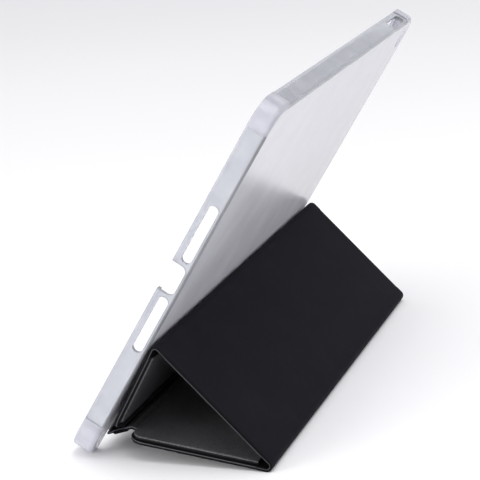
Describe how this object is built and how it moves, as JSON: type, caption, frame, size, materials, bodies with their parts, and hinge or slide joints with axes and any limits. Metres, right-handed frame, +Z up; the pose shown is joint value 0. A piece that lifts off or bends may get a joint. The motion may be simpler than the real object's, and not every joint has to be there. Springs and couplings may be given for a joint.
{
  "type": "tablet stand case",
  "caption": "Clear-backed tablet case whose leather-covered cover of stiff hinged panels folds into a prism stand behind it.",
  "frame": {"origin": "under the middle of the standing case, on the table", "axes": "+X from the screen side to the back, +Y along the tablet's length away from the charging port, +Z up"},
  "size_m": [0.1034, 0.2456, 0.1602],
  "materials": {
    "frosted_back": "frosted hard plastic sheet",
    "clear_bumper": "clear soft moulded plastic",
    "milky_guard": "milky soft moulded plastic",
    "adhesive": "double-sided tape",
    "leather": "fine grained, low sheen",
    "lining": "brushed suede-like",
    "board": "plain",
    "steel": "plain"
  },
  "bodies": {
    "shell": {"back_plate": "frosted_back", "top_rail": "clear_bumper", "port_rail": "clear_bumper", "far_rail": "clear_bumper", "port_hinge_guard": "milky_guard", "far_hinge_guard": "milky_guard", "port_top_guard": "clear_bumper", "far_top_guard": "milky_guard", "flap_adhesive": "adhesive", "hinge_flap": "leather", "hinge_fold": "leather"},
    "spine": {"spine_board": "board", "spine_skin": "leather", "spine_lining": "lining", "spine_fold": "leather"},
    "base": {"base_board": "board", "base_keeper": "steel", "base_skin": "leather", "base_lining": "lining", "rear_fold": "lining"},
    "rear": {"rear_board": "board", "rear_skin": "leather", "rear_lining": "lining", "apex_fold": "lining"},
    "front": {"front_board": "board", "front_magnets": "steel", "front_skin": "leather", "front_lining": "lining"}
  },
  "joints": [
    {"name": "spine_hinge", "type": "hinge", "parent": "shell", "child": "spine", "pos_m": [-0.03864, 0, 0.00675], "axis": [0, 1, 0], "range_deg": [0, 229.2]},
    {"name": "base_fold", "type": "hinge", "parent": "spine", "child": "base", "pos_m": [-0.02662, 0, 0.01054], "axis": [0, 1, 0], "range_deg": [0, 64.6]},
    {"name": "rear_fold", "type": "hinge", "parent": "base", "child": "rear", "pos_m": [0.03853, 0, 0.0028], "axis": [0, 1, 0], "range_deg": [0, 142.5]},
    {"name": "front_fold", "type": "hinge", "parent": "rear", "child": "front", "pos_m": [-0.0082, 0, 0.05053], "axis": [0, 1, 0], "range_deg": [0, 106.6]}
  ],
  "couplings": [
    {"joint": "base_fold", "follows": "spine_hinge", "ratio": 0.2814},
    {"joint": "rear_fold", "follows": "spine_hinge", "ratio": 0.6213},
    {"joint": "front_fold", "follows": "spine_hinge", "ratio": 0.4647}
  ]
}
